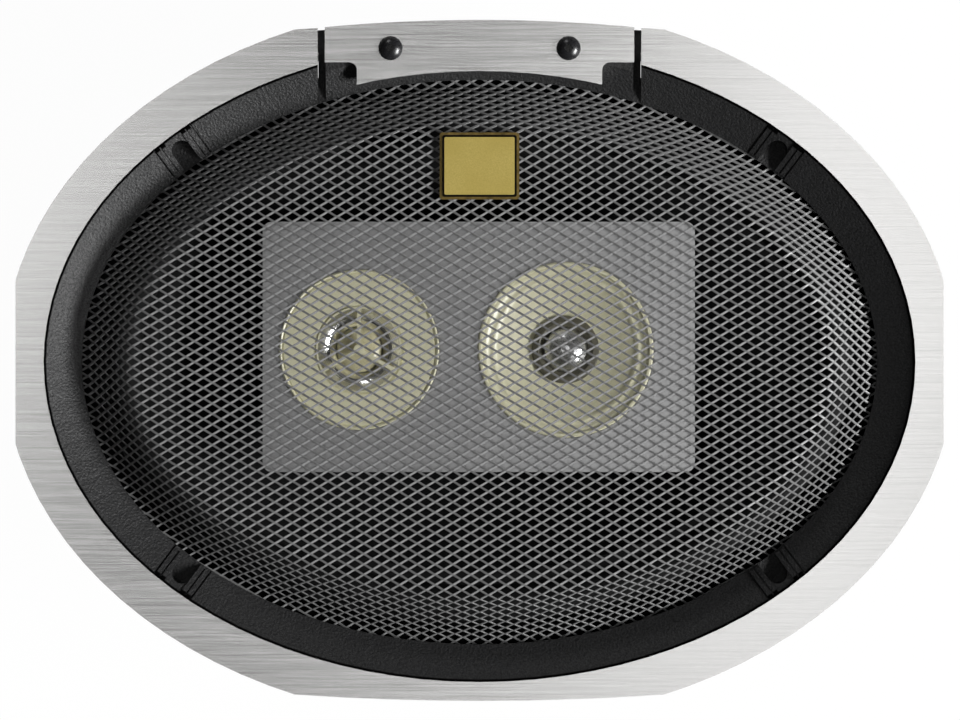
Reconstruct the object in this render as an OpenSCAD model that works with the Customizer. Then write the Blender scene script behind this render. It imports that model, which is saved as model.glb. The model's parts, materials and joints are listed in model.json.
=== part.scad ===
// Coaxial car speaker, 6 x 9 inch class, with its domed grille
// +Z out of the grille, +X along the long axis, +Y to the badge; origin on the panel face, in the middle

/* [Grille opening] */

// Length of the oval opening that the mesh fills
grille_l = 222; // [216:0.5:228]
// Width of the oval opening that the mesh fills
grille_w = 157.6; // [154:0.4:164]

/* [Trim ring] */

// Width of the trim ring's face
trim_face_w = 11.3; // [9.6:0.1:13]
// How far the oval is cut off at each end of the long axis
trim_end_cut = 3.5; // [2:0.1:5]
// How far the oval is cut off at the top and the bottom
trim_side_cut = 6.1; // [5:0.1:7]
// Radius of the shallow arcs along the top and bottom cuts
trim_arc_r = 750; // [500:10:1200]
// Thickness of the trim plate
trim_t = 1.6; // [1.2:0.1:2]
// Height of the trim's face above the panel
trim_top = 12; // [11.4:0.1:14]

/* [Clamp] */

// Length of the clamp plate that closes the ring
clamp_l = 86; // [82:0.5:92]
// Thickness of the clamp plate
clamp_t = 2; // [1.8:0.1:3]
// Width of the slit at each end of the clamp
clamp_slit = 2; // [1.4:0.1:3]
// How far the plate's arched edge stands out past the ring
clamp_rise = 0.9; // [0.4:0.1:1.4]
// Radius of the plate's arched edge
clamp_arc_r = 460; // [400:10:600]
// Length of the cut at each lower corner of the plate
clamp_notch_l = 8.9; // [6:0.1:10]
// Depth of the plate above the lower corner cuts
clamp_notch_h = 11.8; // [11:0.1:12.8]
// Radius of the lower corner cuts
clamp_notch_r = 2.2; // [1.2:0.1:3]
// Distance between the two clamp screws
clamp_screw_gap = 49.5; // [44:0.5:54]
// Distance from the plate's crown to the clamp screws
clamp_screw_in = 7.9; // [7:0.1:8.6]
// Diameter of the screw heads
clamp_head_d = 6.7; // [6:0.1:7.4]
// Diameter of the screw shanks
clamp_screw_d = 3.5; // [3:0.1:4]
// Thickness of the block's floor under the clamp and its slits
block_floor = 1.2; // [1:0.1:1.6]

/* [Grille frame] */

// Width of the black funnel between the trim and the mesh
funnel_w = 10.2; // [9.9:0.1:11]
// Drop of the funnel from the trim's face to its lip
funnel_drop = 5.4; // [4.6:0.1:5.8]
// Thickness of the frame's walls
frame_wall = 1.6; // [1.2:0.1:2]
// Width of the four notches over the panel screws
notch_w = 5.6; // [5.2:0.1:6.2]
// Thickness of the floor that closes each notch
notch_floor = 0.8; // [0.6:0.1:1]
// Width of each rib beside a notch
rib_w = 1.3; // [1:0.1:1.5]
// Width of the grooves beside the ribs
rib_groove = 0.5; // [0.3:0.1:0.7]
// Height of the ribs above the funnel
rib_h = 0.5; // [0.3:0.1:0.8]

/* [Mesh] */

// Height of the dome above the mesh's edge
dome_h = 15; // [13:0.5:18]
// Width of the sloping wall between the mesh's edge and its flat top
dome_wall_w = 12.6; // [11:0.2:14]
// Thickness of the mesh sheet
mesh_t = 0.8; // [0.7:0.1:1.2]
// Gap between the funnel's lip and the foot of the dome
mesh_gap = 1.5; // [1:0.1:2]
// Long pitch of the diamonds, drawn three times the sheet's own
mesh_long = 14.8; // [13:0.1:18]
// Short pitch of the diamonds, drawn three times the sheet's own
mesh_short = 8.6; // [7.6:0.1:10]
// Width of the strands between the diamonds
strand_w = 2.3; // [1.8:0.1:2.8]
// Number of openings round the sloping wall
wall_cells = 48; // [40:4:60]

/* [Badge] */

// Length of the badge frame
badge_l = 22; // [18:0.1:24]
// Height of the badge frame
badge_w = 18.5; // [16:0.1:20]
// Thickness of the badge frame
badge_t = 1.2; // [0.8:0.1:1.6]
// Width of the frame's border round the plate
badge_border = 0.7; // [0.5:0.1:1.2]
// Width of the dark recess between the border and the plate
badge_line = 0.6; // [0.3:0.1:0.9]
// How far the plate stands out of its frame
badge_plate_t = 0.8; // [0.5:0.1:1.2]
// Distance of the badge's middle from the speaker's middle
badge_y = 54.2; // [50:0.2:54.6]
// Diameter of the badge's two fixing pins
badge_pin_d = 1.8; // [1.4:0.1:2.4]

/* [Basket] */

// Thickness of the pressed steel
steel_t = 1.2; // [1:0.1:1.4]
// Width of the flange outside the basket's wall
flange_w = 9.4; // [8.8:0.1:10]
// Depth from the panel face to the back of the basket
basket_depth = 56; // [52:0.5:60]
// Distance from the basket's back up to the spider's ledge
ledge_rise = 16; // [14:0.5:16.5]
// Outer diameter of the spider's ledge
ledge_d = 112; // [108:1:116]
// Diameter of the round pan below the ledge
pan_d = 94; // [92:0.5:98]
// Number of windows round the basket
windows = 8; // [6:1:10]
// Width of each window
window_w = 32; // [26:0.5:36]
// Height of each window along the wall
window_h = 21; // [16:0.5:23]
// Corner radius of the windows
window_r = 5; // [3:0.5:7]
// Diameter of the four panel screw holes
screw_d = 4.8; // [4.2:0.1:5.2]
// How far the screw holes lie outside the grille opening
screw_out = 5.2; // [5:0.1:5.5]
// Angle of the screw holes round the oval
screw_angle = 44.5; // [42:0.5:47]
// Radius of the flange's ears round the screw holes
ear_r = 5.2; // [4.8:0.1:5.4]

/* [Cone and surround] */

// Width of the surround's half roll
roll_w = 10; // [9:0.2:11]
// Thickness of the surround's rubber
rubber_t = 0.6; // [0.5:0.05:0.8]
// Thickness of the cone's paper
paper_t = 0.7; // [0.6:0.05:1]
// Width of the glued lip between the cone and the surround
cone_lip = 4; // [3:0.2:5]
// Diameter of the cone where the ring cap is glued on
cap_d = 46; // [42:0.5:48]
// Height of the ring cap's crown above its rim
cap_h = 6; // [4:0.2:7]
// Thickness of the ring cap
cap_t = 0.6; // [0.5:0.05:0.8]
// Gap between the ring cap and the post
cap_gap = 1.6; // [1:0.1:2.2]
// Thickness of the gasket over the surround's edge
gasket_t = 1.2; // [1:0.1:1.5]
// Thickness of the ring under the mesh's edge
retainer_t = 1.2; // [1:0.1:1.5]

/* [Motor] */

// Diameter of the pole piece
pole_d = 29.2; // [28:0.1:30]
// Running gap between the pole and the coil former
pole_gap = 0.4; // [0.35:0.05:0.6]
// Thickness of the coil former
former_t = 0.3; // [0.25:0.05:0.4]
// Thickness of the coil winding
coil_t = 0.8; // [0.6:0.05:1]
// Running gap between the winding and the top plate
coil_gap = 0.5; // [0.4:0.05:0.7]
// Height of the coil winding
coil_h = 12; // [10:0.5:14]
// Thickness of the top plate
top_plate_t = 5; // [4:0.5:6]
// Diameter of the top plate
top_plate_d = 84; // [80:1:88]
// Diameter of the ferrite magnet
magnet_d = 92; // [90:1:98]
// Height of the ferrite magnet
magnet_h = 17; // [15:0.5:20]
// Diameter of the hole in the magnet
magnet_bore = 42; // [38:0.5:44]
// Thickness of the yoke's back plate
yoke_t = 6; // [5:0.5:8]
// Thickness of the spider's cloth
spider_t = 0.5; // [0.4:0.05:0.7]
// Height of the spider's waves
spider_wave = 1.3; // [0.8:0.1:1.5]
// Number of the spider's waves
spider_waves = 5; // [4:1:6]
// Stroke of the cone each way, kept free at every clearance
stroke = 4; // [3:0.5:4.5]

/* [Terminals] */

// Length of the terminal board
board_l = 34; // [32:0.5:38]
// Thickness of the terminal board
board_t = 1.8; // [1.5:0.1:2.4]
// Width of the positive blade
blade_pos_w = 6.3; // [5:0.1:7]
// Width of the negative blade
blade_neg_w = 4.8; // [4:0.1:6]
// Thickness of the blades
blade_t = 0.8; // [0.5:0.1:1]
// Diameter of the flexible leads
lead_d = 1.6; // [1.2:0.1:2]

/* [Driver bridge] */

// Length of the bridge plate
bridge_l = 120; // [118:0.5:124]
// Height of the bridge plate
bridge_w = 69.5; // [66:0.5:74]
// Corner radius of the bridge plate
bridge_r = 2.6; // [2:0.1:5]
// Thickness of the bridge plate
bridge_t = 2; // [1.6:0.1:2.6]
// Depth of the bridge's folded edge
bridge_edge = 7; // [5:0.2:7.4]
// Depth of the seats in which the drivers' rims lie
seat_depth = 2.2; // [1.8:0.1:2.4]
// How far the bridge lies above the speaker's middle
bridge_y = 4.2; // [2:0.2:6]
// Gap between the drivers' rims and the mesh
bridge_gap = 3.6; // [2.8:0.1:5]
// Diameter of the centre post
post_d = 8; // [7:0.1:8.4]
// Diameter of the bolt through the pole into the post
post_bolt_d = 4; // [3:0.5:4.5]
// Length of the post's foot under the bridge
post_foot_l = 17; // [16:0.2:17.4]
// Width of the post's foot under the bridge
post_foot_w = 21; // [19:0.2:24]

/* [Tweeter] */

// Diameter of the tweeter's rim
tweeter_d = 44.5; // [43:0.1:45]
// Place of the tweeter left of the middle
tweeter_x = 33.4; // [33:0.1:34.6]
// Diameter of the tweeter's bright bowl
bowl_d = 24; // [22:0.2:25]
// Diameter of the tweeter's dome
dome_d = 12.6; // [12:0.1:13.2]
// Width of the guard's three spokes
spoke_w = 1.1; // [0.8:0.05:1.4]
// Height of the tweeter's magnet cup
cup_h = 11.5; // [10.5:0.1:12]
// Thickness of the cup's floor
cup_floor = 2.5; // [2:0.1:3]
// Stroke of the tweeter's dome each way
tweeter_stroke = 0.3; // [0.2:0.05:0.4]

/* [Midrange] */

// Diameter of the midrange's rim
mid_d = 48.8; // [48:0.1:49.4]
// Place of the midrange right of the middle
mid_x = 23.9; // [23.8:0.1:24.8]
// Diameter of the ring round the bright dome
mid_ring_d = 18.8; // [17.6:0.1:20]
// Diameter of the bright dome
mid_dome_d = 12.6; // [11.6:0.1:13]
// Depth of the midrange's cone
mid_cone_h = 3.6; // [3.2:0.1:4.2]
// Stroke of the midrange's cone each way
mid_stroke = 0.6; // [0.3:0.1:0.7]

/* [Rim and bore details] */

// Height of both drivers' rims above the bridge
rim_h = 3.2; // [3:0.1:3.6]
// How far both drivers lie above the speaker's middle
driver_y = 3.4; // [2:0.1:5]
// Diameter of the rivets that hold the basket to the motor
rivet_d = 5; // [4:0.1:6]
// Clearance between pieces that are pushed together
push = 0.05; // [0.02:0.01:0.1]

/* [Hidden] */

$fn = 96;
oval_steps = 96;
big = 400;

// Semi-axes of the oval that lies d outside the grille opening
function ring(d) = [grille_l / 2 + d, grille_w / 2 + d];
// Corner points of an oval
function oval(s, n = oval_steps) = [for (i = [0 : n - 1]) [s.x * cos(360 * i / n), s.y * sin(360 * i / n)]];
// Direction square to an oval at one angle
function square_to(s, a) = atan2(sin(a) / s.y, cos(a) / s.x);
function mix(a, b, t) = a + (b - a) * t;

// Rings, as distances outside the grille opening
trim_in = funnel_w;
trim_out = funnel_w + trim_face_w;
skirt_out = trim_in + 3.2;
skirt_in = skirt_out - frame_wall;
mesh_edge = 1.8;
wall_in = -4.4;
wall_out = wall_in + steel_t;
flange_out = wall_out + flange_w + 1;
roll_out = wall_in - 2;
roll_in = roll_out - roll_w;
top_flat = -mesh_gap - dome_wall_w;

// Heights of the stack on the flange
z_lip = steel_t;
z_gasket = z_lip + rubber_t;
z_retainer = z_gasket + gasket_t;
z_mesh = z_retainer + retainer_t;
z_frame = z_mesh + mesh_t;
z_dome = z_frame + dome_h;
trim_low = trim_top - trim_t;
trim_half_l = ring(trim_out).x - trim_end_cut;
trim_half_w = ring(trim_out).y - trim_side_cut;
crown_y = trim_half_w + clamp_rise;
clamp_pos = [clamp_screw_gap / 2, crown_y - clamp_screw_in];
funnel_low = max(trim_top - 0.4 - funnel_drop, z_frame + 1.2);

// Screw holes
hole = [ring(screw_out).x * cos(screw_angle), ring(screw_out).y * sin(screw_angle)];
hole_dir = square_to(ring(screw_out), screw_angle);

// Motor radii and heights
former_in = pole_d / 2 + pole_gap;
former_out = former_in + former_t;
coil_out = former_out + coil_t;
gap_r = coil_out + coil_gap;
z_back = -basket_depth;
z_seat = z_back + steel_t;
z_ledge = z_back + ledge_rise;
z_magnet = z_back - top_plate_t;
z_yoke = z_magnet - magnet_h;
z_rear = z_yoke - yoke_t;
z_coil = z_back - top_plate_t / 2 - coil_h / 2;
z_pole = z_back + 2.5;
z_neck = z_ledge + spider_wave + spider_t + 1.5;
neck_r = former_out + paper_t;
cone_step = cap_d / 2 + 1.5;
z_step = z_neck + (cone_step - neck_r) * 0.62;
z_in = z_neck + 1.2 + paper_t;
z_cap = z_in + (z_step - z_in) * (cap_d / 2 - former_out) / (cone_step - former_out) + push;

// Bridge and drivers
seat_gap = 0.2;
z_bridge = z_dome - mesh_t - bridge_gap - rim_h;
z_under = z_bridge - bridge_t;
z_plate = z_bridge + seat_depth;
z_face = z_bridge + rim_h;
bridge_c = [-0.2, bridge_y];
tweeter_c = [-tweeter_x, driver_y];
mid_c = [mid_x, driver_y];
post_foot_x = post_d / 2 - post_foot_l / 2;
post_screw = [post_d / 2 - post_foot_l + 4, post_foot_w / 2 - 3.5];
spigot_gap = 0.2;
tweeter_hole = tweeter_d / 2 - 3.2;
mid_hole = mid_d / 2 - 3;
mid_spigot = mid_hole - spigot_gap;
mid_body_r = mid_spigot - 1.9;
mid_rim_r = mid_d / 2 - 1.3;
mid_shelf_r = mid_rim_r - 0.9;
mid_cone_r = mid_shelf_r - 2;
cup_r = 11;
dome_r = dome_d / 2;
drivers = [[tweeter_c, tweeter_d / 2, tweeter_hole], [mid_c, mid_d / 2, mid_hole]];
tw_base = z_face - 4.4;
mid_face = z_face - 1;
mid_neck_r = mid_ring_d / 2 - 1.8;
mid_edge_z = mid_face - 0.5;
mid_neck_z = mid_face - mid_cone_h;
mid_coil_r = mid_dome_d / 2 + 0.4;
mid_motor_r = 14.6;
mid_plate_z = mid_face - 14.5;

steel = [0.24, 0.24, 0.25];
black = [0.09, 0.09, 0.1];
bright = [0.82, 0.82, 0.82];
cream = [0.8, 0.78, 0.66];
gold = [0.7, 0.62, 0.34];
grey = [0.55, 0.55, 0.56];

// Solid swept round Z: each section is [half length, half width, height], listed counter-clockwise
module loft(sections, n = oval_steps) {
    m = len(sections);
    polyhedron(
        [for (i = [0 : n - 1]) for (s = sections) [s[0] * cos(360 * i / n), s[1] * sin(360 * i / n), s[2]]],
        [for (i = [0 : n - 1]) for (j = [0 : m - 1])
            let (k = (j + 1) % m, i1 = (i + 1) % n)
            each [[i * m + j, i * m + k, i1 * m + k], [i * m + j, i1 * m + k, i1 * m + j]]]);
}

// Solid swept round the oval: each point is [distance outside the grille opening, height]
module oval_loft(profile, n = oval_steps) {
    loft([for (p = profile) [ring(p[0]).x, ring(p[0]).y, p[1]]], n);
}

// Flat oval band
module oval_band(d_out, d_in, z, h) {
    translate([0, 0, z]) linear_extrude(h) difference() {
        polygon(oval(ring(d_out)));
        polygon(oval(ring(d_in)));
    }
}

// Flat rectangle with round corners
module rounded(l, w, r) {
    square([l - 2 * r, w], center = true);
    square([l, w - 2 * r], center = true);
    for (x = [-1, 1]) for (y = [-1, 1]) translate([x * (l / 2 - r), y * (w / 2 - r)]) circle(r);
}

// Round solid from a half profile of [radius, height] points
module turned(points) {
    rotate_extrude() polygon(points);
}

// Round tube
module tube(r_out, r_in, z, h) {
    translate([0, 0, z]) difference() {
        cylinder(h = h, r = r_out);
        translate([0, 0, -1]) cylinder(h = h + 2, r = r_in);
    }
}

// Repeats its children at the four screw holes, turned square to the oval
module at_holes() {
    for (x = [-1, 1]) for (y = [-1, 1])
        translate([x * hole.x, y * hole.y, 0])
            rotate(atan2(y * sin(hole_dir), x * cos(hole_dir))) children();
}

// Repeats its children at the two clamp screws
module at_clamp() {
    for (x = [-1, 1]) translate([x * clamp_pos.x, clamp_pos.y, 0]) children();
}

// Space between the cut ends of the ring
module clamp_space(l, z0, z1) {
    translate([-l / 2, 0, z0]) cube([l, big, z1 - z0]);
}

// Outline of the trim ring, drawn in by a distance
module trim_outline(inset = 0) {
    intersection() {
        polygon(oval(ring(trim_out - inset)));
        square([2 * (trim_half_l - inset), big], center = true);
        translate([0, trim_half_w - trim_arc_r]) circle(trim_arc_r - inset, $fn = 720);
        translate([0, trim_arc_r - trim_half_w]) circle(trim_arc_r - inset, $fn = 720);
    }
}

// Face of the trim ring
module trim_ring() {
    color(bright) translate([0, 0, trim_low]) linear_extrude(trim_t) difference() {
        trim_outline();
        polygon(oval(ring(trim_in)));
        translate([-clamp_l / 2 - clamp_slit, 0]) square([clamp_l + 2 * clamp_slit, big]);
    }
}

// Plate that closes the ring at the top
module clamp_plate() {
    color(bright) translate([0, 0, trim_low]) linear_extrude(clamp_t) difference() {
        intersection() {
            translate([-clamp_l / 2, 0]) square([clamp_l, big]);
            translate([0, crown_y - clamp_arc_r]) circle(clamp_arc_r, $fn = 720);
        }
        polygon(oval(ring(mesh_edge + 0.3)));
        for (x = [-1, 1]) {
            translate([x * (clamp_l / 2 + 5 - clamp_notch_l + clamp_notch_r) - 5, 0])
                square([10, crown_y - clamp_notch_h]);
            translate([x * (clamp_l / 2 + 5 - clamp_notch_l) - 5, 0])
                square([10, crown_y - clamp_notch_h - clamp_notch_r]);
            translate([x * (clamp_l / 2 - clamp_notch_l + clamp_notch_r),
                crown_y - clamp_notch_h - clamp_notch_r])
                circle(clamp_notch_r);
            translate([x * clamp_pos.x, clamp_pos.y]) circle(d = clamp_screw_d + 0.4);
        }
    }
}

// Button-head socket screws
module clamp_screws() {
    color(black) at_clamp() difference() {
        union() {
            translate([0, 0, trim_low + clamp_t]) intersection() {
                cylinder(h = 2.1, d = clamp_head_d);
                translate([0, 0, -2.2]) sphere(clamp_head_d * 0.64);
            }
            translate([0, 0, trim_low - 5]) cylinder(h = 5 + clamp_t + 0.2, d = clamp_screw_d);
        }
        translate([0, 0, trim_low + clamp_t + 0.6]) cylinder(h = 4, r = 1.25, $fn = 6);
    }
}

// Ring section shared by the frame and the clamp block
module funnel() {
    oval_loft([
        [skirt_out, 0], [skirt_out, trim_low], [trim_in - 0.12, trim_low], [trim_in - 0.12, trim_top - 0.4],
        [0, funnel_low], [0, z_frame], [frame_wall + 0.6, z_frame],
        [trim_in - 1.2, trim_low - frame_wall - 0.4], [skirt_in, trim_low - frame_wall - 0.4],
        [skirt_in, 0]]);
}

// Floor of the clamp block, which closes the slits from below and clears the frame's cut ends
module slit_floor() {
    reach = clamp_l / 2 + clamp_slit;
    translate([0, 0, z_frame]) linear_extrude(block_floor) intersection() {
        translate([-reach - 3, 0]) square([2 * reach + 6, big]);
        difference() {
            trim_outline(0.3);
            polygon(oval(ring(0)));
            for (x = [-1, 1]) intersection() {
                translate([x * (reach - push + 20) - 20, 0]) square([40, big]);
                polygon(oval(ring(skirt_out + 0.3)));
            }
        }
    }
}

// Block under the clamp plate, with a boss for each screw
module clamp_block() {
    color(black) difference() {
        union() {
            intersection() {
                funnel();
                clamp_space(clamp_l - 0.4, -1, trim_low);
            }
            slit_floor();
            at_clamp() translate([0, 0, trim_low - 6.5]) cylinder(h = 6.2, d = clamp_screw_d + 2.6);
        }
        at_clamp() translate([0, 0, trim_low - 5.6]) cylinder(h = 8, d = clamp_screw_d + 2 * push);
    }
}

// Outline of a notch, open towards the mesh
module notch(w) {
    circle(d = w);
    translate([-20, -w / 2]) square([20, w]);
}

// Bar laid on the funnel's slope beside a notch, reaching from low to high about the slope
module slope_bar(y, w, low, high) {
    slope = atan2(trim_top - 0.4 - funnel_low, trim_in);
    translate([-screw_out, y, funnel_low]) rotate([0, -slope, 0]) translate([-4, -w / 2, low])
        cube([funnel_w / cos(slope) + 8, w, high - low]);
}

// Grained funnel ring with its notches
module grille_frame() {
    rib_y = [for (k = [0 : 1]) notch_w / 2 + (k + 0.5) * rib_w + k * rib_groove];
    color(black) difference() {
        union() {
            difference() {
                funnel();
                at_holes() for (side = [-1, 1])
                    slope_bar(side * (rib_y[1] + (rib_w + rib_groove) / 2), rib_groove, -rib_h, 4);
            }
            intersection() {
                at_holes() for (side = [-1, 1]) for (y = rib_y) slope_bar(side * y, rib_w, -1, rib_h);
                oval_band(trim_in - 0.6, 0.6, z_frame + 0.6, trim_top - 0.2 - z_frame - 0.6);
            }
            intersection() {
                at_holes() translate([0, 0, z_frame]) linear_extrude(big) notch(notch_w + 2 * frame_wall);
                oval_loft([[trim_in - 0.6, z_frame], [trim_in - 0.6, trim_top - 0.9], [0, funnel_low],
                    [0, z_frame]]);
            }
        }
        at_holes() translate([0, 0, z_frame + notch_floor]) linear_extrude(big) notch(notch_w);
        clamp_space(clamp_l + 2 * clamp_slit, -1, big);
    }
}

// Diamonds in the flat top that clear its rim and the badge
diamond = let (k = 1 - strand_w * sqrt(1 / pow(mesh_long, 2) + 1 / pow(mesh_short, 2)))
    [mesh_long / 2 * k, mesh_short / 2 * k];
function in_top(p) = pow(p.x / (ring(top_flat).x - 1), 2) + pow(p.y / (ring(top_flat).y - 1), 2) < 1;
function off_badge(p) = abs(p.x) > badge_l / 2 + diamond.x - 3
    || abs(p.y - badge_y) > badge_w / 2 + diamond.y - 2;
cells = [for (i = [-16 : 16]) for (j = [-20 : 20])
    let (p = [i * mesh_long / 2, j * mesh_short / 2])
    if ((i + j) % 2 == 0 && off_badge(p) && in_top(p + [diamond.x, 0]) && in_top(p - [diamond.x, 0])
        && in_top(p + [0, diamond.y]) && in_top(p - [0, diamond.y])) p];

// Flat top of the dome with its diamonds
module mesh_top() {
    rim = oval(ring(top_flat));
    n = len(rim);
    polygon(
        concat(rim, [for (c = cells) each [c + [diamond.x, 0], c + [0, diamond.y],
                                           c - [diamond.x, 0], c - [0, diamond.y]]]),
        concat([[for (i = [0 : n - 1]) i]],
               [for (k = [0 : len(cells) - 1]) [for (q = [0 : 3]) n + 4 * k + q]]));
}

// Domed sheet with its flat edge
module grille_mesh() {
    tilt = atan2(dome_h, dome_wall_w);
    slant = sqrt(pow(dome_h, 2) + pow(dome_wall_w, 2));
    cell_w = PI * (ring(top_flat / 2).x + ring(top_flat / 2).y) / wall_cells;
    cell_h = slant / 3;
    k = 1 - strand_w * sqrt(1 / pow(cell_w, 2) + 1 / pow(cell_h, 2)) / 1.2;
    color(grey) difference() {
        union() {
            translate([0, 0, z_dome - mesh_t]) linear_extrude(mesh_t) mesh_top();
            difference() {
                oval_loft([
                    [top_flat, z_dome - mesh_t], [-mesh_gap - mesh_t * 0.5, z_mesh], [mesh_edge, z_mesh],
                    [mesh_edge, z_frame], [-mesh_gap, z_frame], [top_flat, z_dome]]);
                for (i = [0 : wall_cells - 1]) for (row = [1 : 3]) {
                    a = 360 * (i + (row % 2) / 2) / wall_cells;
                    t = row / 4;
                    d = mix(-mesh_gap, top_flat, t);
                    translate([ring(d).x * cos(a), ring(d).y * sin(a), mix(z_frame, z_dome, t)])
                        rotate([0, tilt, square_to(ring(d), a)]) translate([0, 0, -2]) linear_extrude(4)
                            polygon([[0, cell_w / 2 * k], [cell_h * 0.62 * k, 0],
                                     [0, -cell_w / 2 * k], [-cell_h * 0.62 * k, 0]]);
                }
            }
        }
        for (x = [-1, 1]) translate([x * badge_l / 3, badge_y, z_dome - 3])
            cylinder(h = 6, d = badge_pin_d + 0.2);
    }
}

// Ring that holds the mesh's edge against the frame's lip
module mesh_retainer() {
    color(black) oval_band(mesh_edge, wall_in - 0.6, z_retainer, retainer_t);
}

// Badge frame with its two pins
module badge_base() {
    color([0.3, 0.24, 0.12]) translate([0, badge_y, z_dome]) difference() {
        union() {
            linear_extrude(badge_t) rounded(badge_l, badge_w, 0.8);
            for (x = [-1, 1]) translate([x * badge_l / 3, 0, -mesh_t - 2])
                cylinder(h = mesh_t + 2.2, d = badge_pin_d);
        }
        translate([0, 0, badge_t - 0.5]) linear_extrude(2)
            rounded(badge_l - 2 * badge_border, badge_w - 2 * badge_border, 0.6);
    }
}

// Bare plate in the badge frame
module badge_plate() {
    color(gold) translate([0, badge_y, z_dome + badge_t - 0.5]) linear_extrude(0.5 + badge_plate_t)
        rounded(badge_l - 2 * (badge_border + badge_line), badge_w - 2 * (badge_border + badge_line), 0.4);
}

// Push-on nuts behind the mesh
module badge_clips() {
    color(steel) for (x = [-1, 1]) translate([x * badge_l / 3, badge_y, 0])
        tube(badge_pin_d / 2 + 1.6, badge_pin_d / 2 + push, z_dome - mesh_t - 0.6, 0.6);
}

// Sections of the basket's wall between flange and ledge
function wall_section(t, off) = let (s = ring(wall_in), e = ledge_d / 2, u = pow(t, 0.9))
    [mix(s.x, e, u) + off, mix(s.y, e, u) + off, mix(0.6, z_ledge, t) - (off > 0 ? steel_t * 0.6 * t : 0)];

// Pressed steel basket
module basket() {
    levels = [0, 0.2, 0.45, 0.7, 1];
    color(steel) difference() {
        union() {
            linear_extrude(steel_t) difference() {
                union() {
                    polygon(oval(ring(flange_out)));
                    for (x = [-1, 1]) for (y = [-1, 1]) translate([x * hole.x, y * hole.y]) circle(ear_r);
                }
                polygon(oval(ring(wall_in)));
            }
            difference() {
                loft(concat([for (i = [4 : -1 : 0]) wall_section(levels[i], steel_t)],
                            [for (i = [0 : 4]) wall_section(levels[i], 0)]));
                for (i = [0 : windows - 1]) {
                    a = 360 * (i + 0.5) / windows;
                    w0 = wall_section(0.3, 0);
                    w1 = wall_section(0.7, 0);
                    p0 = [w0[0] * cos(a), w0[1] * sin(a), w0[2]];
                    p1 = [w1[0] * cos(a), w1[1] * sin(a), w1[2]];
                    lean = atan2(norm([p1.x - p0.x, p1.y - p0.y]), p0.z - p1.z);
                    translate((p0 + p1) / 2) rotate([0, 90 + lean, square_to([w0[0], w0[1]], a)])
                        translate([0, 0, -9]) linear_extrude(18) rounded(window_h, window_w, window_r);
                }
            }
            turned([
                [ledge_d / 2 + 0.7, z_ledge], [pan_d / 2, z_ledge], [pan_d / 2 - 4, z_seat],
                [gap_r + 4, z_seat], [gap_r + 4, z_back], [pan_d / 2 - 4 + steel_t, z_back],
                [pan_d / 2 + steel_t, z_ledge - steel_t], [ledge_d / 2 + 0.7, z_ledge - steel_t]]);
            translate([-board_l / 2, -ledge_d / 2 - 15, z_ledge - steel_t]) cube([board_l, 17, steel_t]);
        }
        for (x = [-1, 1]) for (y = [-1, 1])
            translate([x * hole.x, y * hole.y, -1]) cylinder(h = 4, d = screw_d);
        for (i = [0 : 3]) rotate(45 + 90 * i) translate([top_plate_d / 2 - 8, 0, z_back - 1])
            cylinder(h = 4, d = rivet_d + 2 * push);
        for (x = [-1, 1]) translate([x * board_l / 2.7, -ledge_d / 2 - 8, z_ledge - 5])
            cylinder(h = 8, d = 3 + 2 * push);
        for (x = [-1, 1]) translate([x * lead_at(0.1).x, -ledge_d / 2 - 8, z_ledge + lead_d + 0.4])
            rotate([-90, 0, 0]) cylinder(h = 12, d = lead_d + 2);
        for (i = [0 : 5]) rotate(60 * i) translate([pan_d / 2 - 2, 0, (z_ledge + z_seat) / 2])
            rotate([0, 90, 0]) translate([0, 0, -4]) linear_extrude(8) rounded(6, 16, 2.4);
    }
}

// Rivets between the basket's pan and the top plate
module basket_rivets() {
    color(steel) for (i = [0 : 3]) rotate(45 + 90 * i) translate([top_plate_d / 2 - 8, 0, z_magnet]) {
        cylinder(h = z_seat - z_magnet, d = rivet_d);
        translate([0, 0, z_seat - z_magnet]) cylinder(h = 1.4, d1 = rivet_d + 3, d2 = rivet_d + 1.4);
    }
}

// Gasket over the surround's outer lip
module surround_gasket() {
    color(black) oval_band(mesh_edge - 0.8, wall_in - 0.6, z_gasket, gasket_t);
}

// Half-roll rubber surround with its two glued lips
module surround() {
    mid = (roll_in + roll_out) / 2;
    r = roll_w / 2;
    a0 = asin(rubber_t / r);
    steps = 7;
    color(black) oval_loft(concat(
        [[roll_in - cone_lip, z_lip]],
        [for (i = [0 : steps]) let (a = 180 - 180 * i / steps)
            [mid + (r - rubber_t) * cos(a), z_lip + (r - rubber_t) * sin(a)]],
        [[mesh_edge - 2, z_lip], [mesh_edge - 2, z_lip + rubber_t]],
        [for (i = [0 : steps]) let (a = mix(a0, 180 - a0, i / steps)) [mid + r * cos(a), z_lip + r * sin(a)]],
        [[roll_in - cone_lip, z_lip + rubber_t]]), 80);
}

// Paper cone, oval at its edge and round at its neck
module cone() {
    e = ring(roll_in);
    l = ring(roll_in - cone_lip);
    c = cone_step;
    n = former_out + push;
    m = [mix(c, l.x, 0.55), mix(c, l.y, 0.55)];
    z_m = mix(z_step, z_lip - paper_t, 0.5);
    color([0.07, 0.07, 0.08]) loft([
        [n, n, z_neck], [neck_r, neck_r, z_neck], [neck_r, neck_r, z_neck + 1.2],
        [c, c, z_step - paper_t], [m.x, m.y, z_m - paper_t], [l.x, l.y, z_lip - 2 * paper_t],
        [e.x, e.y, z_lip - paper_t], [e.x, e.y, z_lip], [l.x, l.y, z_lip],
        [m.x, m.y, z_m], [c, c, z_step], [n, n, z_in]]);
}

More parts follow.
